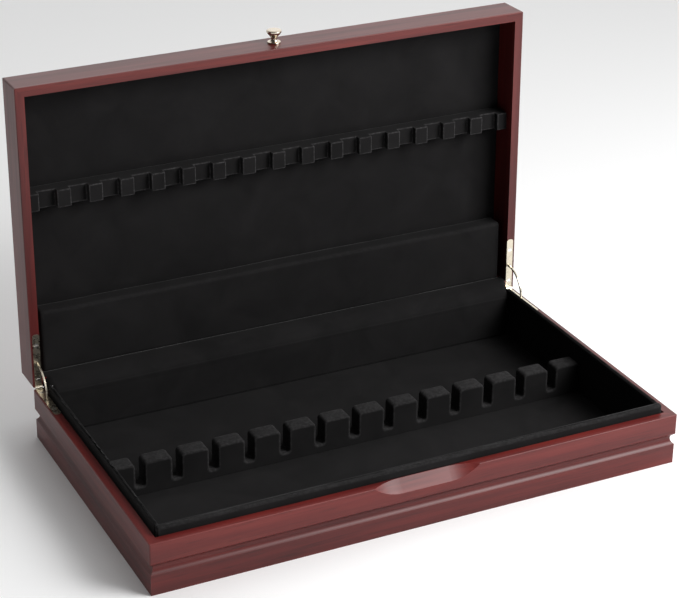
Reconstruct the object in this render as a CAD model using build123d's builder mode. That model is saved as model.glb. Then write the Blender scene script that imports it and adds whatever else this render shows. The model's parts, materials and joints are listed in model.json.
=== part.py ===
"""Wooden presentation case with a lifting lid, velvet-covered racks and quadrant stay hinges.

The origin is the bottom centre of the base: +X runs along the long side, +Y towards the hinges and +Z up.
The lid stands open at rest. Its pieces are drawn in the lid's own frame, which lies on the hinge axis:
there y is 0 at the axis and negative towards the knob, and z runs from the lid's rim to its outside.
"""
from build123d import *
import math
import os

os.makedirs("parts", exist_ok=True)

# Overall sizes
case_length = 470.0
case_depth = 267.8
base_height = 45.6
lid_height = 32.0
lid_gap = 0.3
open_angle = 91.0

# Woodwork
rail_thickness = 8.0
corner_radius = 1.4
rim_edge_radius = 0.7
lid_edge_radius = 1.6
bottom_thickness = 4.5
lid_panel_thickness = 4.6
panel_rabbet = 4.0
panel_play = 0.15

# Groove round the outside of the base, with the plinth below it
groove_top = 27.8
groove_deepest = 25.0
groove_bottom = 17.6
groove_depth = 3.0
groove_hollow = 1.1
plinth_inset = 0.7

# Finger scoop in the base's front edge
scoop_length = 94.6
scoop_flat = 44.0
scoop_height = 9.8
scoop_reach = 7.4

# Velvet-covered boards that line the base
floor_thickness = 3.0
liner_thickness = 5.4
side_liner_thickness = 3.7
liner_play = 0.4
side_liner_play = 2.1
rear_liner_play = 1.6
liner_edge_radius = 1.2
liner_corner_radius = 2.0
lip_height = 7.6
side_lip_height = 6.8
rear_lip_height = 6.6
cover_play = 0.3

# Rack across the base
rack_y = -5.6
rack_depth = 15.0
rack_bar_height = 7.5
rack_block_height = 21.6
rack_block_count = 14
rack_slot_width = 8.0
rack_shoulder_radius = 3.4
rack_edge_radius = 1.3

# Velvet-covered pieces in the lid
lid_lining_thickness = 1.8
lid_rack_back = 156.6
lid_rack_width = 15.6
lid_rack_setback = 8.3
lid_slot_depth = 5.6
lid_slot_width = 15.6
lid_slot_pitch = 27.9
lid_slot_count = 16
lid_block_edge_radius = 0.8
pocket_length = 446.0
pocket_height = 57.0
pocket_thickness = 16.2
pocket_setback = 7.9
pocket_edge_radius = 3.0
cloth_thickness = 0.8
cloth_play = 0.1

# Quadrant stay hinges
axis_above_rim = 0.6
axis_behind_back = 0.6
leaf_width = 6.2
leaf_length = 50.0
leaf_thickness = 1.6
leaf_end_radius = 2.2
leaf_play = 0.1
barrel_radius = 2.2
barrel_play = 0.25
knuckle_play = 0.15
knuckle_gap = 0.1
hinge_pin_radius = 0.95
hinge_pin_play = 0.05
stay_radius = 23.0
stay_width = 1.9
stay_thickness = 1.1
stay_tail = 3.1
stay_play = 0.3
stop_pin_radius = 0.8
stop_pin_length = 2.5
stop_play = 0.15
screw_head_radius = 2.1
screw_head_depth = 1.1
screw_shank_radius = 1.0
screw_length = 9.0
screw_drive_width = 0.6
screw_drive_depth = 0.5
screw_insets = (10.5, 41.5)

# Knob
knob_height = 10.4
knob_head_radius = 6.5
knob_head_edge = 1.0
knob_neck_radius = 2.7
knob_neck_height = 2.4
knob_foot_radius = 4.0
collar_radius = 5.7
collar_thickness = 1.7
knob_screw_radius = 1.6
knob_screw_reach = 5.0
knob_screw_head_radius = 3.6
knob_screw_head_height = 1.8

# Worked out from the sizes above
half_length = case_length / 2
half_depth = case_depth / 2
inner_length = half_length - rail_thickness
inner_depth = half_depth - rail_thickness
floor_top = bottom_thickness + floor_thickness
liner_x = inner_length - side_liner_play
well_x = liner_x - side_liner_thickness
liner_front_y = liner_play - inner_depth
liner_rear_y = inner_depth - rear_liner_play
lip_top = base_height + lip_height
side_lip_top = base_height + side_lip_height
rear_lip_top = base_height + rear_lip_height
axis_y = half_depth + axis_behind_back
axis_z = base_height + axis_above_rim
rim_z = lid_gap - axis_above_rim
lid_top = rim_z + lid_height
lid_middle_y = -axis_behind_back - half_depth
lid_inner_back_y = lid_middle_y + inner_depth
lid_panel_z = lid_top - lid_panel_thickness
lid_lining_z = lid_panel_z - lid_lining_thickness
leaf_x = inner_length + leaf_width / 2


def rim_frame(turn):
    """Frame on the hinge axis: y towards the back and z from rim to outside of a lid opened by turn."""
    angle = math.radians(turn)
    outside = (0, math.sin(angle), math.cos(angle))
    return Plane(origin=(0, axis_y, axis_z), x_dir=(1, 0, 0), z_dir=outside)


lid_frame = rim_frame(open_angle)


def save(piece, name):
    """Labels a finished piece and writes it."""
    piece.part.label = name
    export_step(piece.part, f"parts/{name}.step")


# ------------------------------------------------------------------ quadrant stay hinges
# A leaf is drawn in its own frame on the axis: y runs forward along the rim and z out of the wood.
base_face = -axis_above_rim
lid_face = -rim_z
knuckle_length = (leaf_width - 2 * knuckle_gap) / 3
knuckle_step = knuckle_length + knuckle_gap
stop_reach = leaf_thickness + stop_play + stop_pin_radius
base_stop = math.degrees(math.asin((base_face - stop_reach) / stay_radius))
lid_stop = open_angle - math.degrees(math.asin((lid_face - stop_reach) / stay_radius))
stay_low = base_stop - stay_tail
stay_high = lid_stop + stay_tail
stay_inner = stay_radius - stay_width / 2
stay_outer = stay_radius + stay_width / 2


def leaf_frame(side, in_lid):
    """Frame of one leaf, on the left (-1) or right (1) side, in the base or in the open lid."""
    origin = (side * leaf_x, axis_y, axis_z)
    if not in_lid:
        return Plane(origin=origin, x_dir=(-1, 0, 0), z_dir=(0, 0, 1))
    return Plane(origin=origin, x_dir=(1, 0, 0), z_dir=-lid_frame.z_dir)


def across(frame, x=0.0):
    """Plane across a leaf's frame at x: its x is the frame's y and its y is the frame's z."""
    return Plane(origin=frame.from_local_coords((x, 0, 0)), x_dir=frame.y_dir, z_dir=frame.x_dir)


def ring_sector(inner_radius, outer_radius, low, high):
    """Face between two arcs about the axis, from the low to the high angle."""
    with BuildLine() as outline:
        outer = CenterArc((0, 0), outer_radius, low, high - low)
        inner = CenterArc((0, 0), inner_radius, low, high - low)
        Line(outer @ 0, inner @ 0)
        Line(outer @ 1, inner @ 1)
    make_face(outline.edges())


def leaf_plate(frame, face, grow):
    """Plate of a leaf, or with some growth the room for it, with its front corners rounded."""
    with BuildPart(mode=Mode.PRIVATE) as plate:
        with BuildSketch(frame.offset(face)):
            with Locations((0, leaf_length / 2)):
                Rectangle(leaf_width + 2 * grow, leaf_length + 2 * grow)
        extrude(amount=-leaf_thickness)
        upright, forward = Axis(frame.origin, frame.z_dir), Axis(frame.origin, frame.y_dir)
        fillet(plate.edges().filter_by(upright).group_by(forward)[-1], radius=leaf_end_radius + grow)
    return plate.part


def screw_section(face, y):
    """Half section of a countersunk screw whose head is flush with the leaf's face."""
    with BuildLine() as outline:
        Polyline(
            (y, face),
            (y + screw_head_radius, face),
            (y + screw_shank_radius, face - screw_head_depth),
            (y + screw_shank_radius, face - screw_length + screw_shank_radius),
            (y, face - screw_length),
            close=True,
        )
    make_face(outline.edges())


def screw_axis(frame, y):
    """Axis of the screw at y along a leaf."""
    return Axis(frame.from_local_coords((0, y, 0)), frame.z_dir)


def screw_body(frame, face, y):
    """The solid of one screw, without its drive slot."""
    with BuildPart(mode=Mode.PRIVATE) as body:
        with BuildSketch(across(frame)):
            screw_section(face, y)
        revolve(axis=screw_axis(frame, y))
    return body.part


def hinge_recess(frame, face, pocket_end):
    """Room in the wood for a leaf, the barrel, the screws and the stay that sinks in as the lid closes."""
    with BuildPart(mode=Mode.PRIVATE) as recess:
        add(leaf_plate(frame, face, leaf_play))
        with BuildSketch(across(frame)):
            Circle(barrel_radius + barrel_play)
        extrude(amount=leaf_width / 2 + leaf_play, both=True)
        with BuildSketch(across(frame)):
            ring_sector(stay_inner - stay_play, stay_outer + stay_play, pocket_end, 0)
        extrude(amount=stop_pin_length / 2 + stay_play, both=True)
        for y in screw_insets:
            add(screw_body(frame, face, leaf_length - y))
    return recess.part


half_turn = open_angle / 2
base_pocket_end = stay_low - half_turn - stay_play
lid_pocket_end = half_turn - stay_high - stay_play
hinge_halves = [
    ("base", False, base_face, base_pocket_end, (-knuckle_step, knuckle_step), (0,), 0.0),
    ("lid", True, lid_face, lid_pocket_end, (0,), (-knuckle_step, knuckle_step), hinge_pin_play),
]
hinge_sides = [("left", -1), ("right", 1)]
recesses = {}

for half, in_lid, face, pocket_end, own_knuckles, other_knuckles, bore_play in hinge_halves:
    screws = []
    for side_name, side in hinge_sides:
        frame = leaf_frame(side, in_lid)
        recesses[half, side_name] = hinge_recess(frame, face, pocket_end)
        bodies = [screw_body(frame, face, leaf_length - inset) for inset in screw_insets]

        with BuildPart() as leaf:
            add(leaf_plate(frame, face, 0))
            for x in other_knuckles:
                with BuildSketch(across(frame, x)):
                    Circle(barrel_radius + knuckle_play)
                extrude(amount=knuckle_length / 2 + knuckle_gap, both=True, mode=Mode.SUBTRACT)
            for x in own_knuckles:
                with BuildSketch(across(frame, x)):
                    Circle(barrel_radius)
                extrude(amount=knuckle_length / 2, both=True)
            with BuildSketch(across(frame)):
                Circle(hinge_pin_radius + bore_play)
            extrude(amount=leaf_width, both=True, mode=Mode.SUBTRACT)
            with BuildSketch(frame.offset(face)):
                with Locations((0, stay_radius)):
                    Rectangle(stay_thickness + 2 * stay_play, stay_width + 2 * stay_play)
            extrude(amount=-leaf_thickness, mode=Mode.SUBTRACT)
            for body in bodies:
                add(body, mode=Mode.SUBTRACT)
        save(leaf, f"hinge_{half}_leaf_{side_name}")

        for inset, body in zip(screw_insets, bodies):
            with BuildPart(mode=Mode.PRIVATE) as screw:
                add(body)
                with BuildSketch(frame.offset(face)):
                    with Locations((0, leaf_length - inset)):
                        Rectangle(2 * screw_head_radius, screw_drive_width)
                extrude(amount=-screw_drive_depth, mode=Mode.SUBTRACT)
            screws.append(screw.part)

    with BuildPart() as screw_group:
        add(screws)
    save(screw_group, f"hinge_{half}_screws")

for side_name, side in hinge_sides:
    frame = leaf_frame(side, False)

    with BuildPart() as hinge_pin:
        with BuildSketch(across(frame)):
            Circle(hinge_pin_radius)
        extrude(amount=leaf_width / 2, both=True)
    save(hinge_pin, f"hinge_pin_{side_name}")

    with BuildPart() as stay:
        with BuildSketch(across(frame)):
            ring_sector(stay_inner, stay_outer, stay_low, stay_high)
        extrude(amount=stay_thickness / 2, both=True)
        with BuildSketch(across(frame)):
            with PolarLocations(stay_radius, 1, start_angle=base_stop):
                Circle(stop_pin_radius)
            with PolarLocations(stay_radius, 1, start_angle=lid_stop):
                Circle(stop_pin_radius)
        extrude(amount=stop_pin_length / 2, both=True)
    save(stay, f"hinge_stay_{side_name}")


# ------------------------------------------------------------------ rails of base and lid
# Each side is drawn as if it were the front one, then turned about the middle of the case.
rail_sides = [
    ("front", half_length, half_depth, 0),
    ("right", half_depth, half_length, 90),
    ("rear", half_length, half_depth, 180),
    ("left", half_depth, half_length, 270),
]


def side_plan(frame, middle_y, turn):
    """Plan frame of one side: its x runs along the rail and its y into the case."""
    return Plane(frame.location * Location((0, middle_y, 0), (0, 0, turn)))


def side_section(plan):
    """Plane across a rail: x outwards from the middle of the case, y up from the plan."""
    return Plane(origin=plan.origin, x_dir=-plan.y_dir, z_dir=-plan.x_dir)


def mitred_blank(plan, half, face, low, high):
    """The space of one rail between its mitres, inside the case's rounded corners."""
    with BuildPart(mode=Mode.PRIVATE) as blank:
        with BuildSketch(plan.offset(low)):
            with BuildLine():
                Polyline(
                    (-half, -face),
                    (half, -face),
                    (half - rail_thickness, rail_thickness - face),
                    (rail_thickness - half, rail_thickness - face),
                    close=True,
                )
            make_face()
        extrude(amount=high - low)
        with BuildSketch(plan.offset(low)):
            RectangleRounded(2 * half, 2 * face, corner_radius)
        extrude(amount=high - low, mode=Mode.INTERSECT)
    return blank.part


def base_rail_section(face):
    """Section of a base rail, with its groove and plinth outside and the bottom's rabbet inside."""
    inside = face - rail_thickness
    deepest = (face - groove_depth, groove_deepest)
    plinth_top = (face - plinth_inset, groove_bottom)
    hollow = (
        (deepest[0] + plinth_top[0]) / 2 - groove_hollow,
        (deepest[1] + plinth_top[1]) / 2 - groove_hollow,
    )
    with BuildLine() as outline:
        Polyline(
            (face - rim_edge_radius, base_height),
            (inside, base_height),
            (inside, bottom_thickness),
            (inside + panel_rabbet, bottom_thickness),
            (inside + panel_rabbet, 0),
            (face - plinth_inset, 0),
            plinth_top,
        )
        ThreePointArc(plinth_top, hollow, deepest)
        Polyline(deepest, (face, groove_top), (face, base_height - rim_edge_radius))
        RadiusArc(
            (face, base_height - rim_edge_radius), (face - rim_edge_radius, base_height), -rim_edge_radius)
    make_face(outline.edges())


def lid_rail_section(face):
    """Section of a lid rail, rounded outside at rim and top, with the panel's rabbet inside."""
    inside = face - rail_thickness
    with BuildLine() as outline:
        Polyline(
            (face - lid_edge_radius, lid_top),
            (inside + panel_rabbet, lid_top),
            (inside + panel_rabbet, lid_panel_z),
            (inside, lid_panel_z),
            (inside, rim_z),
            (face - rim_edge_radius, rim_z),
        )
        RadiusArc((face - rim_edge_radius, rim_z), (face, rim_z + rim_edge_radius), -rim_edge_radius)
        Line((face, rim_z + rim_edge_radius), (face, lid_top - lid_edge_radius))
        RadiusArc((face, lid_top - lid_edge_radius), (face - lid_edge_radius, lid_top), -lid_edge_radius)
    make_face(outline.edges())


def scoop_cutter():
    """The finger scoop's cutter: flat in the middle, rising at both ends, run through on the slope."""
    slope = math.hypot(scoop_reach, scoop_height)
    depth = scoop_reach * scoop_height / slope
    run = (scoop_length - scoop_flat) / 2
    end_radius = (run**2 + depth**2) / (2 * depth)
    lift = math.degrees(math.acos(1 - 2 * depth / end_radius))
    out = (0, -scoop_height / slope, scoop_reach / slope)
    along = (0, scoop_reach / slope, scoop_height / slope)
    start = (0, -half_depth, base_height - scoop_height)
    with BuildPart(mode=Mode.PRIVATE) as cutter:
        with BuildSketch(Plane(origin=start, x_dir=(1, 0, 0), z_dir=Vector(1, 0, 0).cross(Vector(*out)))):
            with BuildLine():
                left = CenterArc((-scoop_flat / 2, end_radius), end_radius, 270, -lift)
                right = CenterArc((scoop_flat / 2, end_radius), end_radius, 270, lift)
                Line(left @ 0, right @ 0)
                Line(left @ 1, right @ 1)
            make_face()
        extrude(amount=2 * slope, both=True)
    return cutter.part


for name, half, face, turn in rail_sides:
    hinged = ("left", "right") if name == "rear" else (name,)

    plan = side_plan(Plane.XY, 0, turn)
    with BuildPart() as base_rail:
        with BuildSketch(side_section(plan)):
            base_rail_section(face)
        extrude(amount=half, both=True)
        add(mitred_blank(plan, half, face, 0, base_height), mode=Mode.INTERSECT)
        if name == "front":
            add(scoop_cutter(), mode=Mode.SUBTRACT)
        else:
            for side_name in hinged:
                add(recesses["base", side_name], mode=Mode.SUBTRACT)
    save(base_rail, f"base_{name}_rail")

    plan = side_plan(lid_frame, lid_middle_y, turn)
    with BuildPart() as lid_rail:
        with BuildSketch(side_section(plan)):
            lid_rail_section(face)
        extrude(amount=half, both=True)
        add(mitred_blank(plan, half, face, rim_z, lid_top), mode=Mode.INTERSECT)
        if name == "front":
            with BuildSketch(side_section(plan)):
                with Locations((face - rail_thickness / 2, rim_z + lid_height / 2)):
                    Rectangle(rail_thickness, 2 * knob_screw_radius)
            extrude(amount=knob_screw_radius, both=True, mode=Mode.SUBTRACT)
        else:
            for side_name in hinged:
                add(recesses["lid", side_name], mode=Mode.SUBTRACT)
    save(lid_rail, f"lid_{name}_rail")

panel_length = 2 * (inner_length + panel_rabbet - panel_play)
panel_depth = 2 * (inner_depth + panel_rabbet - panel_play)

with BuildPart() as base_bottom:
    with BuildSketch():
        Rectangle(panel_length, panel_depth)
    extrude(amount=bottom_thickness)
save(base_bottom, "base_bottom_panel")

with BuildPart() as lid_panel:
    with BuildSketch(lid_frame.offset(lid_panel_z)):
        with Locations((0, lid_middle_y)):
            Rectangle(panel_length, panel_depth)
    extrude(amount=lid_panel_thickness)
save(lid_panel, "lid_top_panel")


# ------------------------------------------------------------------ linings of the base
with BuildPart() as floor_board:
    with BuildSketch(Plane.XY.offset(bottom_thickness)):
        Rectangle(2 * (inner_length - cover_play), 2 * (inner_depth - cover_play))
    extrude(amount=floor_thickness)
save(floor_board, "base_floor_board")

for name, side in hinge_sides:
    side_liner_front_y = liner_front_y + liner_thickness
    with BuildPart() as side_liner:
        with BuildSketch(Plane.XY.offset(floor_top)):
            with Locations((side * (liner_x + well_x) / 2, (side_liner_front_y + liner_rear_y) / 2)):
                Rectangle(side_liner_thickness, liner_rear_y - side_liner_front_y)
        extrude(amount=side_lip_top - floor_top)
        fillet(side_liner.faces().sort_by(Axis.Z)[-1].edges().filter_by(Axis.Y), radius=liner_edge_radius)
    save(side_liner, f"base_liner_{name}")

with BuildPart() as front_liner:
    with BuildSketch(Plane.XY.offset(floor_top)):
        with Locations((0, liner_front_y + liner_thickness / 2)):
            Rectangle(2 * liner_x, liner_thickness)
    extrude(amount=lip_top - floor_top)
    fillet(front_liner.edges().filter_by(Axis.Z).group_by(Axis.Y)[0], radius=liner_corner_radius)
    fillet(front_liner.faces().sort_by(Axis.Z)[-1].edges(), radius=liner_edge_radius)
save(front_liner, "base_liner_front")

with BuildPart() as rear_liner:
    with BuildSketch(Plane.XY.offset(floor_top)):
        with Locations((0, liner_rear_y - liner_thickness / 2)):
            Rectangle(2 * well_x, liner_thickness)
    extrude(amount=rear_lip_top - floor_top)
    fillet(rear_liner.faces().sort_by(Axis.Z)[-1].edges().filter_by(Axis.X), radius=liner_edge_radius)
save(rear_liner, "base_liner_rear")


# ------------------------------------------------------------------ rack across the base
rack_length = 2 * (well_x - cover_play)
rack_pitch = (rack_length + rack_slot_width) / rack_block_count
rack_block_width = rack_pitch - rack_slot_width
rack_middle_y = rack_y + rack_depth / 2
rack_bar_top = floor_top + rack_bar_height

with BuildPart() as rack_bar:
    with BuildSketch(Plane.XY.offset(floor_top)):
        with Locations((0, rack_middle_y)):
            Rectangle(rack_length, rack_depth)
    extrude(amount=rack_bar_height)
save(rack_bar, "base_rack_bar")

for number in range(rack_block_count):
    block_x = (number - (rack_block_count - 1) / 2) * rack_pitch
    with BuildPart() as rack_block:
        with BuildSketch(Plane.XY.offset(rack_bar_top)):
            with Locations((block_x, rack_middle_y)):
                Rectangle(rack_block_width, rack_depth)
        extrude(amount=rack_block_height)
        fillet(rack_block.faces().sort_by(Axis.Z)[-1].edges().filter_by(Axis.Y), radius=rack_shoulder_radius)
        fillet(rack_block.faces().sort_by(Axis.Z)[-1].edges().filter_by(Axis.X), radius=rack_edge_radius)
    save(rack_block, f"base_rack_block_{number + 1:02d}")


# ------------------------------------------------------------------ linings, rack and pocket of the lid
with BuildPart() as lid_lining:
    with BuildSketch(lid_frame.offset(lid_lining_z)):
        with Locations((0, lid_middle_y)):
            Rectangle(2 * (inner_length - cover_play), 2 * (inner_depth - cover_play))
    extrude(amount=lid_lining_thickness)
save(lid_lining, "lid_lining_board")

lid_rack_length = 2 * (inner_length - cover_play)
lid_rack_y = -lid_rack_back - lid_rack_width / 2
lid_rack_front = rim_z + lid_rack_setback
lid_rack_floor = lid_rack_front + lid_slot_depth

with BuildPart() as lid_rack_bar:
    with BuildSketch(lid_frame.offset(lid_rack_floor)):
        with Locations((0, lid_rack_y)):
            Rectangle(lid_rack_length, lid_rack_width)
    extrude(amount=lid_lining_z - lid_rack_floor)
save(lid_rack_bar, "lid_rack_bar")

with BuildPart() as lid_rack_blocks:
    with BuildSketch(lid_frame.offset(lid_rack_front)):
        with Locations((0, lid_rack_y)):
            Rectangle(lid_rack_length, lid_rack_width)
            with GridLocations(lid_slot_pitch, 1, lid_slot_count, 1):
                Rectangle(lid_slot_width, 2 * lid_rack_width, mode=Mode.SUBTRACT)
    extrude(amount=lid_slot_depth)
    outwards = Axis(lid_frame.origin, lid_frame.z_dir)
    block_fronts = lid_rack_blocks.faces().filter_by(outwards).group_by(outwards)[0]
    fillet(block_fronts.edges(), radius=lid_block_edge_radius)
save(lid_rack_blocks, "lid_rack_blocks")

with BuildPart() as pocket_board:
    with BuildSketch(lid_frame.offset(rim_z + pocket_setback)):
        with Locations((0, lid_inner_back_y - pocket_height / 2)):
            Rectangle(pocket_length, pocket_height)
    extrude(amount=pocket_thickness)
    ridge = pocket_board.faces().sort_by(Axis(lid_frame.origin, lid_frame.y_dir))[0]
    fillet(ridge.edges().filter_by(Axis.X), radius=pocket_edge_radius)
save(pocket_board, "lid_pocket_board")

tab_line = [
    Vector(0, liner_rear_y - liner_thickness + liner_edge_radius, rear_lip_top),
    Vector(0, liner_rear_y + 2 * cover_play, rear_lip_top),
]
bridge_line = [
    tab_line[-1],
    lid_frame.from_local_coords(Vector(0, lid_inner_back_y, rim_z)),
    lid_frame.from_local_coords(Vector(0, lid_inner_back_y, rim_z + pocket_setback - cloth_play)),
]
with BuildPart() as hinge_cloth:
    for line, half_width in ((tab_line, well_x - cover_play), (bridge_line, inner_length - 2 * cover_play)):
        with BuildSketch(Plane.YZ):
            with BuildLine():
                under = [(point.Y, point.Z) for point in line]
                over = [(point.Y, point.Z + cloth_thickness) for point in reversed(line)]
                Polyline(*under, *over, close=True)
            make_face()
        extrude(amount=half_width, both=True)
save(hinge_cloth, "hinge_cloth")


# ------------------------------------------------------------------ knob on the lid's front rail
# Its sections have x from the middle line outwards and y away from the rail.
knob_origin = lid_frame.from_local_coords(Vector(0, lid_middle_y - half_depth, rim_z + lid_height / 2))
knob_section = Plane(origin=knob_origin, x_dir=lid_frame.z_dir, z_dir=lid_frame.x_dir)
knob_axis = Axis(knob_origin, knob_section.y_dir)

with BuildPart() as knob_collar:
    with BuildSketch(knob_section):
        with Locations(((knob_screw_radius + collar_radius) / 2, collar_thickness / 2)):
            Rectangle(collar_radius - knob_screw_radius, collar_thickness)
    revolve(axis=knob_axis)
    outer_rings = knob_collar.edges().filter_by(GeomType.CIRCLE).group_by(knob_axis)[-1]
    fillet(outer_rings.sort_by(SortBy.RADIUS)[-1], 0.6)
save(knob_collar, "knob_collar")

with BuildPart() as knob:
    with BuildSketch(knob_section):
        with BuildLine():
            foot = (knob_foot_radius, collar_thickness)
            neck = (knob_neck_radius, collar_thickness + knob_neck_height)
            head_low = (knob_head_radius, collar_thickness + knob_height - 2 * knob_head_edge)
            head_high = (knob_head_radius, collar_thickness + knob_height - knob_head_edge)
            crown = (0, collar_thickness + knob_height)
            Polyline((0, collar_thickness), foot)
            Spline(foot, neck, head_low, tangents=((-1, 0.6), (0.5, 1)))
            Line(head_low, head_high)
            Spline(head_high, crown, tangents=((-0.6, 1), (-1, 0)))
            Line(crown, (0, collar_thickness))
        make_face()
    revolve(axis=knob_axis)
    with BuildSketch(Plane(origin=knob_origin, z_dir=knob_section.y_dir)):
        Circle(knob_screw_radius)
    extrude(amount=collar_thickness + knob_screw_reach, mode=Mode.SUBTRACT)
save(knob, "knob")

with BuildPart() as knob_screw:
    with BuildSketch(Plane(origin=knob_origin, z_dir=knob_section.y_dir).offset(-rail_thickness)):
        Circle(knob_screw_radius)
    extrude(amount=rail_thickness + collar_thickness + knob_screw_reach)
    with BuildSketch(Plane(origin=knob_origin, z_dir=knob_section.y_dir).offset(-rail_thickness)):
        Circle(knob_screw_head_radius)
    extrude(amount=-knob_screw_head_height)
save(knob_screw, "knob_screw")
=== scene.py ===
"""Wooden presentation case with its lid open: satin mahogany, black velvet racks and quadrant stay hinges."""
import json
import math
import bmesh
import bpy
from mathutils import Matrix, Vector, noise


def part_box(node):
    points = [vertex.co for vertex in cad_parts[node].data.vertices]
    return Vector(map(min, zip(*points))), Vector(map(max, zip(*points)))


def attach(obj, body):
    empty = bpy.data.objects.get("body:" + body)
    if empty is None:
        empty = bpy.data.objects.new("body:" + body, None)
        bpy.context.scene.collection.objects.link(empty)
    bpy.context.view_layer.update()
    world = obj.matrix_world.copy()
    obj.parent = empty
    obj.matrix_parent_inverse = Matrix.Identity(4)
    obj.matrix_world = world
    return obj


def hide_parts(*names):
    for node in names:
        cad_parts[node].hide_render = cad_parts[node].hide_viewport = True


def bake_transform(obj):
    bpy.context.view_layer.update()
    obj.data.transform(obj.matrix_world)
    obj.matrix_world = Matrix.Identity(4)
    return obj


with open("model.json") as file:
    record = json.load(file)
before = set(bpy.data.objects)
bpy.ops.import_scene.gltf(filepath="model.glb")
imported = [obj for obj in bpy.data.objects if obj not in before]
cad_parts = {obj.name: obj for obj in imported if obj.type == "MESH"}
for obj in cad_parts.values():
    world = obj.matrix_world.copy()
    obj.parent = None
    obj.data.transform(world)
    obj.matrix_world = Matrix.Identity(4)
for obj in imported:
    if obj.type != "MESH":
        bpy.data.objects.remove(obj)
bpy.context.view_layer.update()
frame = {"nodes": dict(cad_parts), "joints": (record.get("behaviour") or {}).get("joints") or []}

nodes = frame["nodes"]

# ---------------------------------------------------------------- mitred rails of base and lid
# The rails are solid mahogany, stained dark red, sanded smooth and sprayed with satin lacquer.
# Each is mitred at its ends and its grain runs along it, so the finish is made once for each direction.
MM = 0.001
GRAIN_STRETCH = 0.045


def paint(node, finish):
    """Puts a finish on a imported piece."""
    node.data.materials.clear()
    node.data.materials.append(finish)


def new_finish(name):
    """A material with its Principled shader, and the node tree that feeds it."""
    finish = bpy.data.materials.new(name)
    finish.use_nodes = True
    tree = finish.node_tree
    return finish, tree, tree.nodes["Principled BSDF"]


def texture(tree, kind, coordinates, **inputs):
    """Adds a texture node that reads the coordinates, and sets its inputs."""
    node = tree.nodes.new("ShaderNodeTex" + kind)
    tree.links.new(coordinates, node.inputs["Vector"])
    for name, value in inputs.items():
        node.inputs[name.replace("_", " ")].default_value = value
    return node


def ramp(tree, source, stops):
    """Adds a colour ramp over the source, from (position, colour) stops."""
    node = tree.nodes.new("ShaderNodeValToRGB")
    tree.links.new(source, node.inputs["Fac"])
    while len(node.color_ramp.elements) < len(stops):
        node.color_ramp.elements.new(0.5)
    for element, (position, colour) in zip(node.color_ramp.elements, stops):
        element.position = position
        element.color = (*colour, 1) if len(colour) == 3 else (colour[0],) * 3 + (1,)
    return node.outputs["Color"]


def mixed(tree, blend, factor, first, second):
    """Adds a colour mix; factor, first and second are sockets or plain values."""
    node = tree.nodes.new("ShaderNodeMix")
    node.data_type = "RGBA"
    node.blend_type = blend
    for socket, value in ((node.inputs[0], factor), (node.inputs[6], first), (node.inputs[7], second)):
        if isinstance(value, bpy.types.NodeSocket):
            tree.links.new(value, socket)
        else:
            socket.default_value = value if isinstance(value, float) else (*value, 1)
    return node.outputs[2]


def mapped(tree, scale, source="Object", turn=(0, 0, 0)):
    """Object or UV coordinates, scaled and turned."""
    place = tree.nodes.new("ShaderNodeTexCoord")
    mapping = tree.nodes.new("ShaderNodeMapping")
    mapping.inputs["Scale"].default_value = scale
    mapping.inputs["Rotation"].default_value = turn
    tree.links.new(place.outputs[source], mapping.inputs["Vector"])
    return mapping.outputs["Vector"]


def bumped(tree, shader, layers):
    """Chains bump nodes, each a (height socket, strength, distance), into the shader's normal."""
    normal = None
    for height, strength, distance in layers:
        node = tree.nodes.new("ShaderNodeBump")
        node.inputs["Strength"].default_value = strength
        node.inputs["Distance"].default_value = distance
        tree.links.new(height, node.inputs["Height"])
        if normal is not None:
            tree.links.new(normal, node.inputs["Normal"])
        normal = node.outputs["Normal"]
    tree.links.new(normal, shader.inputs["Normal"])


def mahogany(name, grain):
    """Stained mahogany whose grain runs along the axis 0, 1 or 2."""
    finish, tree, shader = new_finish(name)
    along = [1.0, 1.0, 1.0]
    along[grain] = GRAIN_STRETCH
    board = mapped(tree, along)
    streaks = texture(tree, "Noise", board, Scale=95.0, Detail=7.0, Roughness=0.62, Distortion=0.35)
    cathedral = texture(tree, "Noise", board, Scale=24.0, Detail=3.0, Roughness=0.5, Distortion=1.1)
    pores = texture(tree, "Noise", board, Scale=620.0, Detail=2.0, Roughness=0.5)
    stain = ramp(tree, streaks.outputs["Fac"], (
        (0.28, (0.056, 0.0050, 0.0050)), (0.5, (0.110, 0.0105, 0.0092)), (0.74, (0.168, 0.021, 0.0165))))
    bands = ramp(tree, cathedral.outputs["Fac"], ((0.3, (0.74,)), (0.7, (1.12,))))
    banded = mixed(tree, "MULTIPLY", 1.0, stain, bands)
    open_pores = ramp(tree, pores.outputs["Fac"], ((0.30, (0.45,)), (0.42, (1.0,))))
    tree.links.new(mixed(tree, "MULTIPLY", 0.55, banded, open_pores), shader.inputs["Base Color"])
    gloss = ramp(tree, streaks.outputs["Fac"], ((0.2, (0.47,)), (0.8, (0.38,))))
    tree.links.new(gloss, shader.inputs["Roughness"])
    shader.inputs["Specular IOR Level"].default_value = 0.34
    shader.inputs["Coat Weight"].default_value = 0.16
    shader.inputs["Coat Roughness"].default_value = 0.36
    shader.inputs["Coat IOR"].default_value = 1.5
    bumped(tree, shader, ((open_pores, 0.12, 0.00012), (streaks.outputs["Fac"], 0.08, 0.0004)))
    return finish


wood_along_x = mahogany("mahogany_along_x", 0)
wood_along_y = mahogany("mahogany_along_y", 1)
wood_along_z = mahogany("mahogany_along_z", 2)
for name, node in nodes.items():
    if name.endswith("_rail"):
        sideways = "left" in name or "right" in name
        paint(node, (wood_along_y if name.startswith("base") else wood_along_z) if sideways else wood_along_x)

# ---------------------------------------------------------------- bottom of the base and top of the lid
# Both are flat boards let into rabbets in the rails, stained and lacquered like them.
# Their grain runs along the case.
for name in ("base_bottom_panel", "lid_top_panel"):
    paint(nodes[name], wood_along_x)


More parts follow.
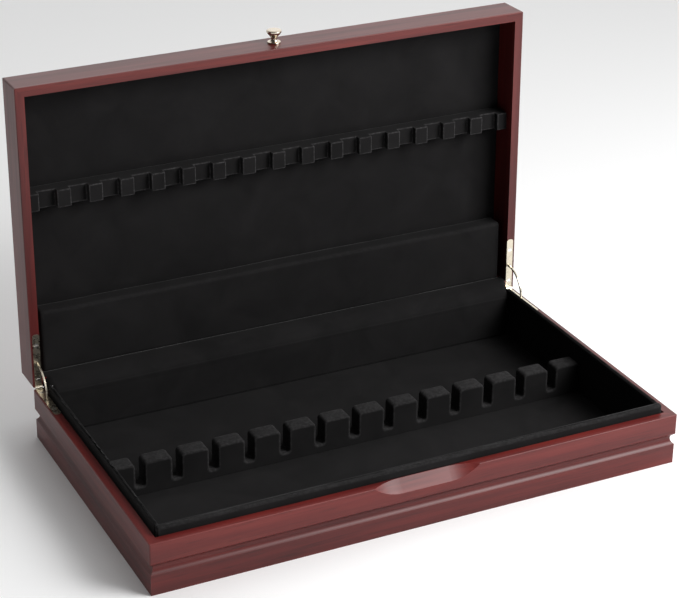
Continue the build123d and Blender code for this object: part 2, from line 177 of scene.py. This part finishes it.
# ---------------------------------------------------------------- quadrant stay hinges
# Leaves, knuckles and stays are stamped brass with a pale polished plating; pins and screws are bright steel.
# The leaves are let in flush with the rims and the stays slide through a slot in each.
def plated(name, colour, roughness, wear):
    """Bright plate with fine polishing lines and faint clouding."""
    finish, tree, shader = new_finish(name)
    lines = texture(tree, "Noise", mapped(tree, (9.0, 1.0, 1.0)), Scale=700.0, Detail=2.0, Roughness=0.6)
    cloud = texture(tree, "Noise", mapped(tree, (1.0, 1.0, 1.0)), Scale=210.0, Detail=4.0, Roughness=0.6)
    dull = tuple(channel * wear for channel in colour)
    clouded = ramp(tree, cloud.outputs["Fac"], ((0.35, dull), (0.6, colour)))
    tree.links.new(clouded, shader.inputs["Base Color"])
    tree.links.new(
        ramp(tree, cloud.outputs["Fac"], ((0.3, (roughness * 1.5,)), (0.65, (roughness,)))),
        shader.inputs["Roughness"])
    shader.inputs["Metallic"].default_value = 1.0
    bumped(tree, shader, ((lines.outputs["Fac"], 0.1, 0.00005),))
    return finish


hinge_plate = plated("pale_brass_plate", (0.68, 0.62, 0.50), 0.24, 0.93)
bright_steel = plated("bright_steel", (0.75, 0.73, 0.69), 0.24, 0.85)
for name, node in nodes.items():
    if name.startswith("hinge_") and name != "hinge_cloth":
        paint(node, bright_steel if "pin" in name or "screws" in name else hinge_plate)

# ---------------------------------------------------------------- knob on the lid
# The knob is turned brass with a satin plating, on a loose collar, held by a screw from inside the rail.
# Its top is a shallow dome and its side sweeps in to a narrow neck.
knob_plate = plated("satin_knob_plate", (0.62, 0.55, 0.45), 0.16, 0.93)
for name in ("knob", "knob_collar"):
    paint(nodes[name], knob_plate)
paint(nodes["knob_screw"], bright_steel)


# ---------------------------------------------------------------- velvet-covered boards of the base
# Thin boards line the floor and the four walls. Each is wrapped in black cotton velvet over thin wadding, and
# where the velvet turns over an edge its colour is made lighter, partly for the opened pile and partly as a
# painted highlight.
FOLD = "open_pile_and_edge_highlight"
WADDING_SEED = 7
noise.seed_set(WADDING_SEED)


def black_velvet(name, fold_light):
    """Black velvet: a short pile, brushed in patches, painted lighter where the cloth turns over an edge,
    partly for the opened pile and partly as a painted highlight.
    """
    finish, tree, shader = new_finish(name)
    space = mapped(tree, (1.0, 1.0, 1.0))
    brushed = texture(tree, "Noise", space, Scale=26.0, Detail=5.0, Roughness=0.62, Distortion=0.6)
    pile = texture(tree, "Noise", space, Scale=1500.0, Detail=2.0, Roughness=0.7)
    edge_breakup_noise = texture(tree, "Noise", space, Scale=420.0, Detail=3.0, Roughness=0.75)
    ground = ramp(tree, brushed.outputs["Fac"], (
        (0.3, (0.0074, 0.0071, 0.0073)), (0.7, (0.0120, 0.0114, 0.0117))))
    # Marked edges blend towards a lighter grey, broken up by noise: partly opened pile, partly a painted
    # highlight.
    fold = tree.nodes.new("ShaderNodeAttribute")
    fold.attribute_name = FOLD
    edge_breakup = ramp(tree, edge_breakup_noise.outputs["Fac"], ((0.42, (0.25,)), (0.62, (1.0,))))
    edge_light = mixed(tree, "MULTIPLY", 1.0, fold.outputs["Color"], edge_breakup)
    level = tree.nodes.new("ShaderNodeMath")
    level.operation = "MULTIPLY"
    level.inputs[1].default_value = fold_light
    tree.links.new(edge_light, level.inputs[0])
    tree.links.new(
        mixed(tree, "MIX", level.outputs[0], ground, (0.046, 0.0445, 0.0455)), shader.inputs["Base Color"])
    shader.inputs["Roughness"].default_value = 0.95
    shader.inputs["Specular IOR Level"].default_value = 0.12
    shader.inputs["Sheen Weight"].default_value = 0.05
    shader.inputs["Sheen Roughness"].default_value = 0.35
    bumped(tree, shader, ((pile.outputs["Fac"], 0.25, 0.0002), (brushed.outputs["Fac"], 0.1, 0.0006)))
    return finish


# fold_light sets how strongly marked edges are painted lighter; the stronger finish gives the racks thin
# painted highlight lines.
velvet = black_velvet("black_velvet", 0.3)
velvet_bright_edges = black_velvet("black_velvet_drawn_tight", 1.0)


def finish_piece(mesh, name, finish, body, stands_for, closed=True):
    """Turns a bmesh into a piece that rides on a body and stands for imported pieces."""
    if closed:
        bmesh.ops.recalc_face_normals(mesh, faces=mesh.faces)
    data = bpy.data.meshes.new(name)
    for face in mesh.faces:
        face.smooth = True
    mesh.to_mesh(data)
    mesh.free()
    data.materials.append(finish)
    piece = bpy.data.objects.new(name, data)
    bpy.context.scene.collection.objects.link(piece)
    if body:
        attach(piece, body)
    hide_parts(*stands_for)
    return piece


def mark_folds(mesh, faces, amount):
    """Marks the corners of faces where the velvet turns, to be painted lighter (opened pile and painted
    highlight), and clears all the others.
    """
    layer = mesh.verts.layers.float.get(FOLD) or mesh.verts.layers.float.new(FOLD)
    for face in faces:
        for corner in face.verts:
            corner[layer] = amount
    return layer


def soften(mesh, amount, scale=18.0):
    """Moves the corners a little, as wadding under cloth does."""
    for corner in mesh.verts:
        corner.co += noise.noise_vector(corner.co * scale) * amount


def box_mesh(low, high):
    """A closed box between two corners."""
    mesh = bmesh.new()
    bmesh.ops.create_cube(mesh, size=1.0)
    bmesh.ops.scale(mesh, vec=high - low, verts=mesh.verts)
    bmesh.ops.translate(mesh, vec=(low + high) / 2, verts=mesh.verts)
    return mesh


def wrap_edges(mesh, edges, radius, hem, amount):
    """Rounds edges as wadded velvet is, marks them to be painted lighter (opened pile and painted highlight),
    and keeps a narrow hem beside them over which that lightening fades.
    """
    rounded = bmesh.ops.bevel(
        mesh, geom=edges, affect="EDGES", offset=radius, segments=3, profile=0.5, material=-1,
        clamp_overlap=True)
    flats = [face for face in mesh.faces if face not in set(rounded["faces"])]
    bmesh.ops.inset_individual(mesh, faces=flats, thickness=hem, use_even_offset=True)
    mark_folds(mesh, rounded["faces"], amount)


def covered_board(
        name, low, high, body, stands_for, radius, turn=Matrix.Identity(4), cuts=24, fold=0.4, slack=0.12):
    """A velvet-covered board between two corners, turned into place."""
    mesh = box_mesh(low, high)
    wrap_edges(mesh, mesh.edges[:], radius, 1.1 * MM, fold)
    for axis in range(3):
        length = (high - low)[axis]
        pieces = max(1, round(cuts * length / max(high - low)))
        for step in range(1, pieces):
            normal = Vector((0, 0, 0))
            normal[axis] = 1
            bmesh.ops.bisect_plane(
                mesh, geom=mesh.verts[:] + mesh.edges[:] + mesh.faces[:],
                plane_co=low + normal * length * step / pieces, plane_no=normal)
    soften(mesh, slack * MM)
    bmesh.ops.transform(mesh, matrix=turn, verts=mesh.verts)
    piece = finish_piece(mesh, name, velvet, body, stands_for)
    return piece


covered_board("velvet_floor", *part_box("base_floor_board"), "base", ["base_floor_board"], 0.5 * MM)
# The last number sets how strongly each liner's rolled edges are painted lighter, partly opened pile and
# partly painted highlight; the rear one gets none.
for wall, roll, lowered, fold in (
        ("left", 1.6, 0.0, 0.7), ("right", 1.6, 0.0, 0.7), ("front", 1.8, 0.0, 1.1), ("rear", 1.4, 5.5, 0.0)):
    low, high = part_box(f"base_liner_{wall}")
    covered_board(
        f"velvet_liner_{wall}", low, high - Vector((0, 0, lowered * MM)), "base", [f"base_liner_{wall}"],
        roll * MM, fold=fold)

# ---------------------------------------------------------------- rack across the base
# A bar with upright blocks, cut from one board, wadded and wrapped in one piece of velvet.
# The blocks have round shoulders and the slots between them round bottoms, where a barrel lies.
SHOULDER = 3.4 * MM
SLOT_ROUND = 2.2 * MM
RACK_EDGE = 1.4 * MM
bar_low, bar_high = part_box("base_rack_bar")
block_names = [name for name in nodes if name.startswith("base_rack_block_")]
blocks = sorted((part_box(name) for name in block_names), key=lambda box: box[0].x)
rack = box_mesh(bar_low, bar_high)
for low, high in blocks:
    for x in (low.x, high.x):
        bmesh.ops.bisect_plane(
            rack, geom=rack.verts[:] + rack.edges[:] + rack.faces[:], plane_co=(x, 0, 0), plane_no=(1, 0, 0))
seats = [
    face for face in rack.faces
    if face.normal.z > 0.9 and any(low.x < face.calc_center_median().x < high.x for low, high in blocks)
]
raised = bmesh.ops.extrude_discrete_faces(rack, faces=seats)["faces"]
raised_corners = list({corner for face in raised for corner in face.verts})
bmesh.ops.translate(rack, vec=(0, 0, blocks[0][1].z - bar_high.z), verts=raised_corners)
bmesh.ops.remove_doubles(rack, verts=rack.verts, dist=1e-6)
bmesh.ops.dissolve_limit(rack, angle_limit=math.radians(1), verts=rack.verts, edges=rack.edges)


def middle_of(edge):
    """The middle of an edge."""
    return (edge.verts[0].co + edge.verts[1].co) / 2


def runs_along(edge, axis):
    """True when an edge runs along an axis."""
    way = edge.verts[1].co - edge.verts[0].co
    return abs(way[axis]) > 0.99 * way.length


top_z = blocks[0][1].z
for height, radius in ((top_z, SHOULDER), (bar_high.z, SLOT_ROUND)):
    crossing = [
        edge for edge in rack.edges
        if runs_along(edge, 1) and abs(edge.verts[0].co.z - height) < 1e-5
    ]
    bmesh.ops.bevel(
        rack, geom=crossing, affect="EDGES", offset=radius, segments=5, profile=0.5, material=-1,
        clamp_overlap=True)
bmesh.ops.dissolve_limit(rack, angle_limit=math.radians(1), verts=rack.verts, edges=rack.edges)
outline = [
    edge for edge in rack.edges
    if len(edge.link_faces) == 2 and any(abs(face.normal.y) > 0.99 for face in edge.link_faces)
    and any(abs(face.normal.y) < 0.5 for face in edge.link_faces) and middle_of(edge).z > bar_low.z + 1e-5
]
rounded = bmesh.ops.bevel(
    rack, geom=outline, affect="EDGES", offset=RACK_EDGE, segments=3, profile=0.5, material=-1,
    clamp_overlap=True)
faces_of_comb = [face for face in rack.faces if abs(face.normal.y) > 0.99 and face.calc_area() > 1e-4]
bmesh.ops.inset_individual(rack, faces=faces_of_comb, thickness=0.9 * MM, use_even_offset=True)
# The rounded edges of the comb are painted lighter: partly opened pile, partly a painted highlight.
mark_folds(rack, rounded["faces"], 0.5)
bmesh.ops.triangulate(rack, faces=[face for face in rack.faces if len(face.verts) > 4])
finish_piece(rack, "velvet_rack", velvet_bright_edges, "base", ["base_rack_bar"] + block_names)

# ---------------------------------------------------------------- lining of the lid
# A thin board, wadded and covered with velvet, is pressed into the lid against its top panel.
# The lid leans back a little past upright, so its pieces are made level and turned about the hinge axis.
hinge = next(joint for joint in frame["joints"] if joint["name"] == "lid_hinge")
lean = Matrix.Translation(hinge["pos_m"]) @ Matrix.Rotation(-math.radians(hinge["range_deg"][1]), 4, "X")
level_lid = lean.inverted()


def lid_box(name):
    """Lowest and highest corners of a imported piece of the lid, in the lid's own level frame."""
    corners = [level_lid @ corner.co for corner in nodes[name].data.vertices]
    return (
        Vector(min(corner[axis] for corner in corners) for axis in range(3)),
        Vector(max(corner[axis] for corner in corners) for axis in range(3)),
    )


covered_board(
    "velvet_lid_lining", *lid_box("lid_lining_board"), "lid", ["lid_lining_board"], 0.5 * MM, turn=lean)

# ---------------------------------------------------------------- rack in the lid
# A shallow strip with wide notches, wrapped in velvet, holds the ends that the base rack doesn't.
# Its sharp edges are rounded a little and painted lighter, as fine light lines: partly opened pile, partly
# painted highlight.
strip_low, strip_high = lid_box("lid_rack_bar")
front_low = lid_box("lid_rack_blocks")[0]
notch_pitch = 27.9 * MM
notch_width = 15.6 * MM
notch_count = 16
strip = box_mesh(strip_low, strip_high)
notch_middles = [(number - (notch_count - 1) / 2) * notch_pitch for number in range(notch_count)]
for middle in notch_middles:
    for x in (middle - notch_width / 2, middle + notch_width / 2):
        bmesh.ops.bisect_plane(
            strip, geom=strip.verts[:] + strip.edges[:] + strip.faces[:],
            plane_co=(x, 0, 0), plane_no=(1, 0, 0))
seats = [
    face for face in strip.faces
    if face.normal.z < -0.9
    and not any(abs(face.calc_center_median().x - middle) < notch_width / 2 for middle in notch_middles)
]
raised = bmesh.ops.extrude_discrete_faces(strip, faces=seats)["faces"]
raised_corners = list({corner for face in raised for corner in face.verts})
bmesh.ops.translate(strip, vec=(0, 0, front_low.z - strip_low.z), verts=raised_corners)
bmesh.ops.remove_doubles(strip, verts=strip.verts, dist=1e-6)
bmesh.ops.dissolve_limit(strip, angle_limit=math.radians(1), verts=strip.verts, edges=strip.edges)
sharp = [edge for edge in strip.edges if middle_of(edge).z < strip_high.z - 1e-5]
rounded = bmesh.ops.bevel(
    strip, geom=sharp, affect="EDGES", offset=0.7 * MM, segments=3, profile=0.5, material=-1,
    clamp_overlap=True)
flats = [face for face in strip.faces if face.calc_area() > 2e-5]
bmesh.ops.inset_individual(strip, faces=flats, thickness=0.5 * MM, use_even_offset=True)
mark_folds(strip, rounded["faces"], 1.0)
bmesh.ops.triangulate(strip, faces=[face for face in strip.faces if len(face.verts) > 4])
bmesh.ops.transform(strip, matrix=lean, verts=strip.verts)
finish_piece(
        strip, "velvet_lid_rack", velvet_bright_edges, "lid", ["lid_rack_bar", "lid_rack_blocks"])

# ---------------------------------------------------------------- pocket board of the lid
# A wadded board stands clear of the lining beside the hinges and makes a pocket for papers behind it.
# Its upper edge is fuller than the others and a little uneven. Only its upper edge is painted lighter, and
# along the middle of its rear corner that painted highlight is much stronger.
pocket_low, pocket_high = lid_box("lid_pocket_board")
pocket = covered_board(
    "velvet_pocket", pocket_low, pocket_high, "lid", ["lid_pocket_board"], 2.6 * MM,
    turn=lean, cuts=40, slack=0.7)
# Edges away from the upper edge lose their painted lightening; the middle of the rear upper corner gets a
# painted highlight seven times stronger.
for corner, light in zip(pocket.data.vertices, pocket.data.attributes[FOLD].data):
    place = level_lid @ corner.co
    if place.y > pocket_low.y + 6 * MM:
        light.value = 0.0
    elif place.z > pocket_high.z - 3.2 * MM and -75 * MM < place.x < 95 * MM:
        light.value *= 7.0

# ---------------------------------------------------------------- velvet over the joint
# One strip of the same velvet rises from the floor up the rear liner, rolls over its top in a soft curve and
# reaches the foot of the pocket. It is glued below, and its two ends are tucked
# down to the top of the rear rail, so that no gap shows beside the hinges.
cloth_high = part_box("hinge_cloth")[1]
rear_low, rear_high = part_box("base_liner_rear")
pocket_foot = lean @ Vector((0, pocket_high.y, pocket_low.z))
CLOTH = 0.5 * MM
wall_y = rear_low.y - 0.45 * MM
run = [
    Vector((0, wall_y, rear_low.z + 0.5 * MM)),
    Vector((0, wall_y, rear_high.z - 22 * MM)),
    Vector((0, wall_y + 0.2 * MM, rear_high.z - 12 * MM)),
    Vector((0, wall_y + 1.2 * MM, rear_high.z - 3.6 * MM)),
    Vector((0, rear_high.y + 1.2 * MM, rear_high.z + 0.2 * MM)),
    Vector((0, rear_high.y + 7.5 * MM, cloth_high.z - 0.5 * MM)),
    Vector((0, cloth_high.y - 5 * MM, cloth_high.z + 0.1 * MM)),
    Vector((0, pocket_foot.y + 0.7 * MM, cloth_high.z + 0.1 * MM)),
]


def smooth_run(points, count):
    """Evenly spaced points on a soft curve that stays close to the given ones."""
    curve = bpy.data.curves.new("run", "CURVE")
    curve.dimensions = "3D"
    spline = curve.splines.new("NURBS")
    spline.points.add(len(points) - 1)
    for control, point in zip(spline.points, points):
        control.co = (*point, 1)
    spline.order_u = 3
    spline.use_endpoint_u = True
    spline.resolution_u = 12
    holder = bpy.data.objects.new("run", curve)
    bpy.context.scene.collection.objects.link(holder)
    line = [corner.co.copy() for corner in bpy.data.meshes.new_from_object(holder).vertices]
    bpy.data.objects.remove(holder)
    lengths = [0.0]
    for before, after in zip(line, line[1:]):
        lengths.append(lengths[-1] + (after - before).length)
    result = []
    for step in range(count):
        target = lengths[-1] * step / (count - 1)
        index = max(k for k in range(len(line) - 1) if lengths[k] <= target or k == 0)
        part = (target - lengths[index]) / max(1e-9, lengths[index + 1] - lengths[index])
        result.append(line[index].lerp(line[index + 1], min(1.0, part)))
    return result, lengths[-1]


ROWS = 40
back_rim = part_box("base_rear_rail")[1]
narrow = rear_high.x - 0.3 * MM
wide = cloth_high.x - 0.2 * MM
swept, cloth_length = smooth_run(run, ROWS + 1)
cloth = bmesh.new()
bmesh.ops.create_grid(cloth, x_segments=110, y_segments=ROWS, size=0.5)
cloth.verts.layers.float.new(FOLD)
for corner in cloth.verts:
    place = swept[round((corner.co.y + 0.5) * ROWS)]
    half = wide if place.y > rear_high.y + 0.4 * MM else narrow
    ripple = 0.16 * MM * noise.noise(Vector((corner.co.x * 17, corner.co.y * 3, 3.0)))
    tucked = half == wide and abs(corner.co.x) > 0.499 and place.y < back_rim.y
    height = back_rim.z + 0.8 * MM if tucked else place.z + abs(ripple)
    corner.co = Vector((corner.co.x * 2 * half, place.y - abs(ripple), height))
bmesh.ops.recalc_face_normals(cloth, faces=cloth.faces)
if sum(face.normal.z for face in cloth.faces) < 0:
    bmesh.ops.reverse_faces(cloth, faces=cloth.faces)
cover = finish_piece(cloth, "velvet_hinge_cloth", velvet, None, ["hinge_cloth"], closed=False)
thick = cover.modifiers.new("cloth", "SOLIDIFY")
thick.thickness = CLOTH
thick.offset = -1.0
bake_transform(cover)

# ---------------------------------------------------------------- studio
# A plain pale floor, one soft box in front at the right, air that is brightest behind and at the right, and
# the camera.
floor_mesh = bmesh.new()
bmesh.ops.create_grid(floor_mesh, x_segments=1, y_segments=1, size=6.0)
floor_data = bpy.data.meshes.new("studio_floor")
floor_mesh.to_mesh(floor_data)
floor_mesh.free()
floor_finish, floor_tree, floor_shader = new_finish("white_paper")
floor_shader.inputs["Base Color"].default_value = (0.95, 0.95, 0.95, 1)
floor_shader.inputs["Roughness"].default_value = 0.9
floor_data.materials.append(floor_finish)
studio_floor = bpy.data.objects.new("studio_floor", floor_data)
bpy.context.scene.collection.objects.link(studio_floor)

world = bpy.data.worlds.new("studio")
world.use_nodes = True
air = world.node_tree
around = air.nodes.new("ShaderNodeTexCoord")
behind = air.nodes.new("ShaderNodeVectorMath")
behind.operation = "DOT_PRODUCT"
behind.inputs[1].default_value = (0.75, 0.6, 0.25)
air.links.new(around.outputs["Generated"], behind.inputs[0])
wall = air.nodes.new("ShaderNodeMapRange")
wall.inputs["From Min"].default_value = -0.2
wall.inputs["From Max"].default_value = 0.8
wall.inputs["To Min"].default_value = 0.05
wall.inputs["To Max"].default_value = 1.3
air.links.new(behind.outputs["Value"], wall.inputs["Value"])
air.links.new(wall.outputs["Result"], air.nodes["Background"].inputs["Strength"])
air.nodes["Background"].inputs["Color"].default_value = (1, 1, 1, 1)
bpy.context.scene.world = world


def soft_light(name, place, aim, width, height, watts):
    """A soft box at a place, aimed at a point."""
    light = bpy.data.lights.new(name, "AREA")
    light.shape = "RECTANGLE"
    light.size = width
    light.size_y = height
    light.energy = watts
    lamp = bpy.data.objects.new(name, light)
    lamp.location = place
    lamp.rotation_euler = (Vector(aim) - Vector(place)).to_track_quat("-Z", "Y").to_euler()
    bpy.context.scene.collection.objects.link(lamp)


soft_light("key_box", (0.8, -0.85, 0.95), (0.0, 0.0, 0.05), 0.8, 0.8, 24)
bpy.context.scene.view_settings.view_transform = "Standard"

VIEW_TURN = math.radians(-25.259)
VIEW_LIFT = math.radians(24.483)
VIEW_ROLL = math.radians(-0.088)
VIEW_DISTANCE = 2.141844
VIEW_TARGET = Vector((0.136552, 0.389892, 0.0))
backward = Vector((
    math.sin(VIEW_TURN) * math.cos(VIEW_LIFT),
    -math.cos(VIEW_TURN) * math.cos(VIEW_LIFT),
    math.sin(VIEW_LIFT)))
rightward = Vector((0, 0, 1)).cross(backward).normalized()
upward = backward.cross(rightward)
turned = Matrix((rightward, upward, backward)).transposed() @ Matrix.Rotation(-VIEW_ROLL, 3, "Z")
camera = bpy.data.objects.new("camera", bpy.data.cameras.new("camera"))
camera.matrix_world = Matrix.Translation(VIEW_TARGET + backward * VIEW_DISTANCE) @ turned.to_4x4()
camera.data.sensor_width = 36.0
camera.data.lens = 110.574
camera.data.shift_x = 0.05645
camera.data.shift_y = -0.07457
bpy.context.scene.collection.objects.link(camera)
bpy.context.scene.camera = camera
